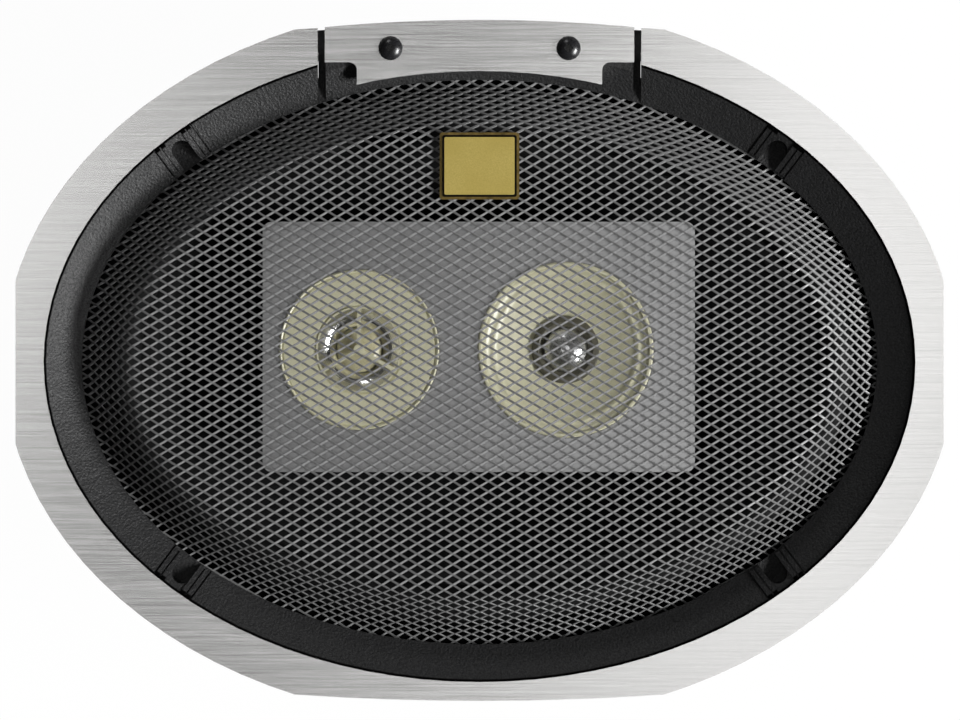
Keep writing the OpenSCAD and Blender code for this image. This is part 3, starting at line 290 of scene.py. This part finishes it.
def tinsel():
    n = Nodes("tinsel", Metallic=1.0)
    braid = n.wave(0.45, "DIAGONAL")
    n.colour(n.between(braid, (0.20, 0.07, 0.03), (0.72, 0.40, 0.20), 0.2, 0.8))
    return n.rough(n.span(braid, 0.55, 0.35)).bump(braid, depth=0.05, strength=0.6)


def spun(name, dark, pale, rough):
    """Turned metal: a grain that is finest up and down, so it reads as rings on a bowl or dome."""
    n = Nodes(name, Metallic=1.0)
    rings = n.noise(0.22, stretch=(1, 1, 6))
    n.colour(n.between(n.noise(5, detail=1.0), dark, pale))
    return n.rough(n.span(rings, *rough)).bump(rings, depth=0.006, strength=0.4)


def speckled(name, dark, pale, size, rough, depth, metal=0.0, **sockets):
    """A fine-grained finish between two colours; roughness and bump follow the same grain."""
    n = Nodes(name, Metallic=metal, **sockets)
    grain = n.noise(size, detail=3.0, rough=0.6)
    cloud = n.noise(size * 22, detail=1.0)
    middle = tuple((a + 2 * b) / 3 for a, b in zip(dark, pale))
    n.colour(n.between(grain, dark, n.between(cloud, middle, pale)))
    return n.rough(n.span(grain, *rough)).bump(grain, depth, strength=0.6)


SPECKLED = {
    # dark and pale colour, grain size, roughness over the grain, bump depth, metallic
    "screw_black": ((0.008, 0.008, 0.009), (0.02, 0.02, 0.022), 0.4, (0.22, 0.34), 0.01),
    "basket_paint": ((0.012, 0.012, 0.013), (0.024, 0.024, 0.026), 0.8, (0.34, 0.48), 0.03),
    "steel": ((0.42, 0.42, 0.41), (0.62, 0.61, 0.58), 1.2, (0.30, 0.46), 0.02, 1.0),
    "gasket": ((0.010, 0.010, 0.010), (0.028, 0.028, 0.028), 0.7, (0.9, 0.75), 0.1),
    "former": ((0.30, 0.14, 0.03), (0.44, 0.22, 0.06), 1.5, (0.28, 0.42), 0.01),
    "ferrite": ((0.020, 0.020, 0.022), (0.055, 0.055, 0.058), 0.6, (0.75, 0.5), 0.04),
    "post_black": ((0.010, 0.010, 0.011), (0.024, 0.024, 0.025), 0.6, (0.5, 0.36), 0.03),
    "bridge_grey": ((0.36, 0.36, 0.36), (0.42, 0.42, 0.42), 0.35, (0.18, 0.23), 0.01, 0.6),
    "capacitor": ((0.012, 0.016, 0.035), (0.022, 0.03, 0.06), 1.2, (0.3, 0.42), 0.02),
    "film": ((0.58, 0.54, 0.34), (0.70, 0.66, 0.44), 0.6, (0.22, 0.34), 0.01),
    "dark_ring": ((0.07, 0.066, 0.045), (0.15, 0.14, 0.10), 0.5, (0.42, 0.6), 0.03),
    "board": ((0.13, 0.055, 0.020), (0.24, 0.11, 0.045), 1.0, (0.45, 0.6), 0.03),
    "plated_brass": ((0.55, 0.42, 0.16), (0.74, 0.58, 0.26), 1.0, (0.22, 0.36), 0.01, 1.0),
    "plated_tin": ((0.58, 0.58, 0.56), (0.74, 0.74, 0.71), 1.0, (0.26, 0.42), 0.01, 1.0),
    "neodymium": ((0.58, 0.57, 0.54), (0.72, 0.71, 0.68), 0.8, (0.2, 0.32), 0.01, 1.0),
}
FINISHES = {
    "brushed_aluminium": brushed_aluminium(),
    "grained_plastic": grained_plastic(),
    "mesh_metal": mesh_metal(),
    "badge_gold": badge_gold(),
    "badge_bronze": badge_bronze(),
    "cone_paper": cone_paper(),
    "rubber": rubber(),
    "cloth": cloth(),
    "copper": wound_copper(),
    "tinsel": tinsel(),
    "chrome": spun("chrome", (0.80, 0.80, 0.81), (0.90, 0.90, 0.91), (0.10, 0.22)),
    "bright_dome": spun("bright_dome", (0.74, 0.74, 0.75), (0.86, 0.86, 0.87), (0.22, 0.32)),
    "cream": speckled("cream", (0.75, 0.72, 0.48), (0.86, 0.83, 0.60), 0.5, (0.42, 0.52), 0.015,
                      Specular_IOR_Level=1.0, Coat_Weight=1.0, Coat_IOR=1.8, Coat_Roughness=0.45),
}
FINISHES.update((name, speckled(name, *row)) for name, row in SPECKLED.items())


def finish_of(slot):
    return FINISHES[slot].material


# Mesh helpers

def ring(d):
    """Semi-axes of the oval that lies d outside the grille opening."""
    return GRILLE_L / 2 + d, GRILLE_W / 2 + d


def piece(name, points, faces, slot, smooth=40.0):
    """A new mesh piece, with edges sharper than an angle in degrees left sharp."""
    mesh = bpy.data.meshes.new(name)
    mesh.from_pydata([tuple(p * MM for p in v) for v in points], [], faces)
    mesh.validate()
    mesh.update()
    mesh.shade_smooth()
    mesh.set_sharp_from_angle(angle=math.radians(smooth))
    obj = bpy.data.objects.new(name, mesh)
    bpy.context.scene.collection.objects.link(obj)
    mesh.materials.append(finish_of(slot))
    return obj


def swept(profile, place, n):
    """Points and faces of a closed profile carried round Z in n steps by place(point, angle)."""
    m = len(profile)
    points = [place(p, 2 * math.pi * i / n) for i in range(n) for p in profile]
    faces = []
    for i in range(n):
        here, there = i * m, ((i + 1) % n) * m
        faces += [(here + j, there + j, there + (j + 1) % m, here + (j + 1) % m) for j in range(m)]
    return points, faces


def on_oval(p, a):
    """Place for a profile of offsets from the grille's oval, and heights."""
    x, y = ring(p[0])
    return x * math.cos(a), y * math.sin(a), p[1]


def on_circle(centre):
    """Place for a profile of radii round a centre, and heights."""
    return lambda p, a: (centre[0] + p[0] * math.cos(a), centre[1] + p[0] * math.sin(a), p[1])


def smoothstep(t):
    t = np.clip(t, 0, 1)
    return t * t * (3 - 2 * t)


def flexes(obj, node, weights):
    """Hide the CAD node that a soft piece stands in for and bake the piece's place; its weights (0 at
    the chassis, 1 at the moving body) are not used.
    """
    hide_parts(node)
    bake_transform(obj)
    np.asarray(weights, np.float32)


# Expanded metal grille

def dome_profile():
    """The drawn sheet's section, and the end of its foot.

    Each row is a distance along the sheet from the flat top's edge, with the reach outward,
    the height and the lean there.
    """
    across = -MESH_GAP - TOP_FLAT
    lean = math.atan2(Z_DOME - Z_FRAME, across)
    top, base = Z_DOME - MESH_T / 2, Z_MESH + MESH_T / 2
    crown_run, foot_run = CROWN_R * math.tan(lean / 2), FOOT_R * math.tan(lean / 2)
    rows = [(FAR_IN, FAR_IN, top, 0.0), (-crown_run, -crown_run, top, 0.0)]
    for k in range(1, CROWN_STEPS + 1):
        a = lean * k / CROWN_STEPS
        rows.append((-crown_run + CROWN_R * a, -crown_run + CROWN_R * math.sin(a),
                     top - CROWN_R * (1 - math.cos(a)), a))
    wall = math.hypot(across, top - base) - crown_run - foot_run
    s0, h0, z0, _ = rows[-1]
    s1, h1, z1 = s0 + wall, h0 + wall * math.cos(lean), z0 - wall * math.sin(lean)
    rows.append((s1, h1, z1, lean))
    for k in range(1, FOOT_STEPS + 1):
        a = lean * k / FOOT_STEPS
        rows.append((s1 + FOOT_R * a, h1 + FOOT_R * (math.sin(lean) - math.sin(lean - a)),
                     z1 - FOOT_R * (math.cos(lean - a) - math.cos(lean)), lean - a))
    s, h, z, _ = rows[-1]
    rim = 20
    rows.append((s + rim, h + rim, z, 0.0))
    return np.array(rows), s, h, z


def flat_sheet(reach):
    """Joints of the flat sheet inside an oval, by grid place, and the twelve points of each."""
    angle = math.atan2(PITCH_S, PITCH_L)
    tip_x = BOND_HALF + STRAND_HALF / math.sin(angle)
    tip_y = STRAND_HALF / math.cos(angle) + BOND_SPARE
    in_x, in_y = tip_x - CHAMFER / math.sin(angle), tip_y - CHAMFER / math.cos(angle)
    layers = ((in_x, in_y, SHEET_T / 2), (tip_x, tip_y, SHEET_T / 2 - CHAMFER),
              (tip_x, tip_y, -SHEET_T / 2))
    index, points = {}, []
    reach_i, reach_j = int(2 * reach[0] / PITCH_L) + 2, int(2 * reach[1] / PITCH_S) + 2
    for i in range(-reach_i, reach_i + 1):
        for j in range(-reach_j, reach_j + 1):
            x, y = i * PITCH_L / 2, j * PITCH_S / 2
            if (i + j) % 2 or (x / reach[0]) ** 2 + (y / reach[1]) ** 2 > 1:
                continue
            index[i, j] = len(index)
            for dx, dy, h in layers:
                up_x, up_y = TIP_LEAN * dx / tip_x, TIP_RISE * dy / tip_y
                points += [(x + dx, y, h + up_x), (x, y + dy, h + up_y),
                           (x - dx, y, h - up_x), (x, y - dy, h - up_y)]
    return index, np.array(points)


def drawn_over_dome(p, profile):
    """Points of the flat sheet carried onto the dome, by distance along its section."""
    flat = ring(TOP_FLAT)
    low, high = np.full(len(p), FAR_IN), np.full(len(p), FAR_OUT)
    for _ in range(50):
        d = (low + high) / 2
        outside = (p[:, 0] / (flat[0] + d)) ** 2 + (p[:, 1] / (flat[1] + d)) ** 2 > 1
        low, high = np.where(outside, d, low), np.where(outside, high, d)
    d = (low + high) / 2
    c, s = p[:, 0] / (flat[0] + d), p[:, 1] / (flat[1] + d)
    reach, z, lean = (np.interp(d, profile[:, 0], profile[:, k]) for k in (1, 2, 3))
    nx, ny = c / (flat[0] + reach), s / (flat[1] + reach)
    tilt = np.sin(lean) / (np.hypot(nx, ny) + 1e-12)
    formed = np.stack([(flat[0] + reach) * c + nx * tilt * p[:, 2],
                       (flat[1] + reach) * s + ny * tilt * p[:, 2],
                       z + np.cos(lean) * p[:, 2]], 1)
    core = d < FLAT_CORE
    formed[core, :2], formed[core, 2] = p[core, :2], profile[0, 2] + p[core, 2]
    return formed


def bars(index):
    """Faces of the expanded sheet: each joint carries four inset, four edge and four lower points."""
    def at(node, layer, tip):
        return 12 * node + 4 * layer + tip

    def skin(p, q, r, t):
        """Chamfers, sides, top and underside of a strand between its edges p-q and r-t."""
        for u, v in ((p, q), (r, t)):
            for low in (1, 2):
                yield (at(u[0], low, u[1]), at(v[0], low, v[1]),
                       at(v[0], low - 1, v[1]), at(u[0], low - 1, u[1]))
        yield tuple(at(n, 0, tip) for n, tip in (p, q, r, t))
        yield tuple(at(n, 2, tip) for n, tip in (t, r, q, p))

    faces = []
    for (i, j), k in index.items():
        faces.append(tuple(at(k, 0, tip) for tip in range(4)))
        faces.append(tuple(at(k, 2, tip) for tip in reversed(range(4))))
        for a, b, di, dj in ((0, 1, 1, 1), (1, 2, -1, 1), (2, 3, -1, -1), (3, 0, 1, -1)):
            other = index.get((i + di, j + dj))
            if other is None:
                faces += [(at(k, low, a), at(k, low, b), at(k, low - 1, b), at(k, low - 1, a))
                          for low in (1, 2)]
            elif di > 0:
                faces += skin((k, a), (other, (b + 2) % 4), (other, (a + 2) % 4), (k, b))
    return faces


def expanded_metal():
    """Diamonds with leaning, chamfered strands, laid out flat and drawn over the dome."""
    profile, s_foot, h_foot, z_foot = dome_profile()
    s_end = s_foot + MESH_EDGE - (TOP_FLAT + h_foot) - NET_INSET
    flat = ring(TOP_FLAT)
    index, points = flat_sheet((flat[0] + s_end, flat[1] + s_end))
    formed = drawn_over_dome(points, profile)
    obj = piece("grille_expanded_mesh", formed.tolist(), bars(index), "mesh_metal")
    obj.data.shade_flat()
    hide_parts("grille_mesh")
    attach(obj, "chassis")
    # plain rolled edge of the sheet, under the frame's lip
    half, inner, inner_cut, outer_cut = MESH_T / 2, 0.1, 0.2, 0.3
    lower = [(inner, inner_cut - half), (inner + inner_cut, -half), (MESH_EDGE - outer_cut, -half),
             (MESH_EDGE, outer_cut - half)]
    band = [(d, z_foot + h) for d, h in lower] + [(d, z_foot - h) for d, h in reversed(lower)]
    rim = piece("grille_mesh_edge", *swept(band, on_oval, OVAL_STEPS), "mesh_metal")
    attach(rim, "chassis")


expanded_metal()


# Soft pieces

def soft_ring(name, profile, place, steps, slot, smooth, node, still, moved):
    """A swept ring, with weights from 0 where its profile is at still to 1 where it is at moved."""
    obj = piece(name, *swept(profile, place, steps), slot, smooth)
    d = np.tile([p[0] for p in profile], steps)
    flexes(obj, node, smoothstep((still - d) / (still - moved)))


def surround_piece():
    """Half-roll of rubber with a flat lip on the basket and another on the cone."""
    middle, r, steps = (ROLL_OUT + ROLL_IN) / 2, (ROLL_OUT - ROLL_IN) / 2, 18
    outer, inner = MESH_EDGE - 2, ROLL_IN - CONE_LIP
    bevel_w, bevel_h = 0.3, 0.2
    z_top = Z_LIP + RUBBER_T

    def arc(radius, start, end):
        return [(middle + radius * math.cos(a), Z_LIP + radius * math.sin(a))
                for a in np.linspace(start, end, steps)]

    start = math.asin(RUBBER_T / r)
    profile = ([(inner, Z_LIP)] + arc(r - RUBBER_T, math.pi, 0) + [(outer, Z_LIP), (outer, z_top)]
               + arc(r, start, math.pi - start) + [(inner + bevel_w, z_top), (inner, z_top - bevel_h)])
    soft_ring("surround_roll", profile, on_oval, OVAL_STEPS, "rubber", 50,
              "surround", ROLL_OUT, ROLL_IN)


def waved_disc(name, node, centre, r0, r1, line, thick, lip=None):
    """A cloth disc from r0 to r1 whose height is line(t), t from 0 to 1, with a flat lip outside."""
    low = [(r, line((r - r0) / (r1 - r0))) for r in np.linspace(r0, r1, 61)]
    if lip is not None:
        low.append((lip, line(1.0)))
    profile = low + [(r, z + thick) for r, z in reversed(low)]
    soft_ring(name, profile, on_circle(centre), ROUND_STEPS, "cloth", 60, node, r1, r0)


def spider_piece():
    def line(t):
        return Z_LEDGE + SPIDER_WAVE * (1 - math.cos(2 * math.pi * SPIDER_WAVES * t)) / 2

    gap, inset = 0.05, 2  # from the former, and from the pan's and the ledge's outer radius
    waved_disc("spider_cloth", "spider", (0, 0), FORMER_OUT + gap, PAN_R - inset,
               line, SPIDER_T, LEDGE_R - inset)


def mid_spider_piece():
    height, wave, waves, thick = 2.3, 0.4, 3, 0.3

    def line(t):
        return MID_PLATE_Z + height + wave * math.sin(2 * math.pi * waves * t)

    waved_disc("mid_spider_cloth", "mid_spider", MID_C, MID_COIL_R + 0.35,
               MID_MOTOR_R - 1.2, line, thick)


def mid_surround_piece():
    """Thin edge that slopes from the cone up to the shelf of the frame."""
    sag, thick, rim, tuck = 0.25, 0.35, MID_RIM_R - 0.1, MID_CONE_R - 1
    low = [(MID_CONE_R + (MID_SHELF_R - MID_CONE_R) * t,
            MID_EDGE_Z + (MID_FACE - MID_EDGE_Z) * t - sag * math.sin(math.pi * t))
           for t in np.linspace(0, 1, 25)]
    profile = ([(tuck, MID_EDGE_Z - 0.5)] + low + [(rim, MID_FACE), (rim, MID_FACE + thick)]
               + [(r, z + thick) for r, z in reversed(low)] + [(tuck, MID_EDGE_Z - 0.35)])
    soft_ring("mid_surround_edge", profile, on_circle(MID_C), MID_STEPS, "cream", 50,
              "mid_surround", MID_SHELF_R, MID_CONE_R)


def tweeter_suspension_piece():
    """Small arched ring of film round the dome."""
    r0, r1, z = TWEETER_DOME_R + 0.3, TWEETER_DOME_R + 1.8, TWEETER_BASE - 0.1
    arch_h, thick, steps = 0.28, 0.18, 12
    arch = [(r0 + (r1 - r0) * k / steps, z + arch_h * math.sin(math.pi * k / steps))
            for k in range(steps + 1)]
    profile = arch + [(r, h + thick) for r, h in reversed(arch)]
    soft_ring("tweeter_suspension_roll", profile, on_circle(TWEETER_C), ROUND_STEPS, "film", 50,
              "tweeter_suspension", r1, r0)


LEAD_FROM = BOARD_L / 2.7, -LEDGE_R - 3.6, Z_LEDGE + LEAD_D / 2 + 0.1  # on the terminal board
LEAD_TO = 5.0, -CAP_D / 2 - 6, Z_LEDGE + 10                            # on the cone


def lead_path(side, t):
    """Point of a lead's route in the source, t from 0 at the board to 1 at the cone."""
    (x0, y0, z0), (x1, y1, z1) = LEAD_FROM, LEAD_TO
    return np.array([side * (x0 * (1 - t) + x1 * t), y0 + (y1 - y0) * t,
                     z0 + (z1 - z0) * t * t + LEAD_D * math.sin(math.pi * t)])


def unit(v):
    return v / np.linalg.norm(v)


def leads_piece():
    """Two flexible leads, each laid from five twisted strands."""
    points, faces, weights = [], [], []
    rows, strands, sides, lay = 72, 5, 6, 5.0
    strand_r, lay_r, ahead_t = 0.34, 0.46, 0.01
    fixed = 0.1  # share of a lead at each end whose weight is held at 0 by the board and at 1 by the cone
    for side, s in ((side, s) for side in (-1, 1) for s in range(strands)):
        first = len(points)
        for t in (k / rows for k in range(rows + 1)):
            here = lead_path(side, t)
            ahead = unit(lead_path(side, t + ahead_t) - here)
            u = unit(np.cross(ahead, (1, 0, 0)))
            v = np.cross(ahead, u)
            turn = 2 * math.pi * (s / strands + lay * t)
            out = u * math.cos(turn) + v * math.sin(turn)
            across = np.cross(ahead, out)
            for a in (2 * math.pi * q / sides for q in range(sides)):
                points.append(tuple(here + out * (lay_r + strand_r * math.cos(a))
                                    + across * strand_r * math.sin(a)))
                weights.append(smoothstep((t - fixed) / (1 - 2 * fixed)))
        for k in range(rows):
            a, b = first + k * sides, first + (k + 1) * sides
            faces += [(a + q, a + (q + 1) % sides, b + (q + 1) % sides, b + q) for q in range(sides)]
        faces.append(tuple(first + q for q in reversed(range(sides))))
        faces.append(tuple(first + rows * sides + q for q in range(sides)))
    obj = piece("tinsel_lead_strands", points, faces, "tinsel", 60)
    flexes(obj, "tinsel_leads", weights)


surround_piece()
spider_piece()
mid_spider_piece()
mid_surround_piece()
tweeter_suspension_piece()
leads_piece()


# CAD nodes: finish, smooth shading and softened edges

NODE_SLOT = {row["node"]: row["material_slot"] for row in frame["record"]["subparts"]}
SOFT_EDGES = {"trim_ring": 0.22, "clamp_plate": 0.22, "badge_base": 0.35, "badge_plate": 0.3,
              "driver_bridge": 0.4, "terminal_positive": 0.12, "terminal_negative": 0.12,
              "terminal_board": 0.15}


def dress():
    for name, obj in frame["nodes"].items():
        obj.data.shade_smooth()
        obj.data.set_sharp_from_angle(angle=math.radians(SHARP_ANGLE))
        obj.data.materials.clear()
        obj.data.materials.append(finish_of(NODE_SLOT[name]))
        if name in SOFT_EDGES:
            edge = obj.modifiers.new("edges", "BEVEL")
            edge.width, edge.segments, edge.limit_method = SOFT_EDGES[name] * MM, 2, "ANGLE"
            edge.angle_limit = math.radians(BEVEL_ANGLE)


dress()


# Stage, lights and camera

def floor():
    """White floor to the camera and in reflections, apart from a little shading by the lights."""
    half, gap, white = 8.0, 0.0004, 0.975
    mesh = bpy.data.meshes.new("floor")
    z = cad_box[0].z - gap
    mesh.from_pydata([(-half, -half, z), (half, -half, z), (half, half, z), (-half, half, z)],
                     [], [(0, 1, 2, 3)])
    obj = bpy.data.objects.new("floor", mesh)
    bpy.context.scene.collection.objects.link(obj)
    n = Nodes("floor", Roughness=0.9, Base_Color=(0.9, 0.9, 0.9, 1), Specular_IOR_Level=0.0)
    path = n.add("LightPath")
    seen = n.math("MAXIMUM", path.outputs["Is Camera Ray"], path.outputs["Is Glossy Ray"])
    seen = n.math("MAXIMUM", seen, path.outputs["Is Transmission Ray"])
    glow = n.add("Emission", Strength=1.0)
    mix = n.add("MixShader")
    n.put(mix, 0, n.math("MULTIPLY", seen, white))
    n.put(mix, 1, n.shader.outputs[0])
    n.put(mix, 2, glow.outputs[0])
    n.put(n.tree.nodes["Material Output"], "Surface", mix.outputs[0])
    mesh.materials.append(n.material)


def softbox(name, place, aim, size, power, turn=0.0):
    """An area light, turned about its aim by an angle in degrees."""
    light = bpy.data.lights.new(name, "AREA")
    light.shape, light.size, light.size_y, light.energy = "RECTANGLE", size[0], size[1], power
    obj = bpy.data.objects.new(name, light)
    obj.location = place
    aimed = (Vector(aim) - Vector(place)).to_track_quat("-Z", "Y")
    obj.rotation_euler = (aimed @ Quaternion((0, 0, 1), math.radians(turn))).to_euler()
    bpy.context.scene.collection.objects.link(obj)


def card(name, place, size, level, turn):
    """A flat card overhead that the bright metal reflects, with its radiance given."""
    power = level * math.pi * size[0] * size[1]
    softbox(name, place, (place[0], place[1], 0), size, power, turn)


def world(level):
    """Dim surroundings behind a white backdrop that only the camera sees."""
    w = bpy.data.worlds.new("studio")
    w.use_nodes = True
    tree = w.node_tree
    dim, white = tree.nodes["Background"], tree.nodes.new("ShaderNodeBackground")
    for background, strength in ((dim, level), (white, 1.0)):
        background.inputs["Color"].default_value = (1, 1, 1, 1)
        background.inputs["Strength"].default_value = strength
    path, mix = tree.nodes.new("ShaderNodeLightPath"), tree.nodes.new("ShaderNodeMixShader")
    tree.links.new(path.outputs["Is Camera Ray"], mix.inputs[0])
    tree.links.new(dim.outputs[0], mix.inputs[1])
    tree.links.new(white.outputs[0], mix.inputs[2])
    tree.links.new(mix.outputs[0], tree.nodes["World Output"].inputs["Surface"])
    bpy.context.scene.world = w


def camera():
    """Straight down on the trim's face, at the photo's scale."""
    pixel, photo_w, distance, sensor = 0.278 * MM, 960, 1.6, 36
    off_x, off_y = 0.5, 2.0  # pixels
    data = bpy.data.cameras.new("photo_camera")
    data.sensor_width, data.sensor_fit = sensor, "HORIZONTAL"
    data.lens = sensor * distance / (photo_w * pixel)
    data.clip_start, data.clip_end = 0.05, 50
    obj = bpy.data.objects.new("photo_camera", data)
    obj.location = (off_x * pixel, off_y * pixel, TRIM_FACE_Z * MM + distance)
    bpy.context.scene.collection.objects.link(obj)
    bpy.context.scene.camera = obj


floor()
softbox("key", (1.75, -0.638, 1.166), (0, 0, 0), size=(1.2, 0.35), power=90)
softbox("fill", (-0.448, 1.673, 1.0), (0, 0, 0), size=(0.5, 0.35), power=4)
card("card_right", (0.268, 0.120, 2.40), size=(0.30, 0.777), level=1.90, turn=-17.9)
card("card_left", (-0.452, 0.080, 2.42), size=(0.543, 0.25), level=2.14, turn=51.8)
card("card_near", (0.0, -0.353, 2.44), size=(0.726, 0.20), level=0.82, turn=9.5)
world(0.03)
camera()
bpy.context.scene.view_settings.view_transform = "Standard"
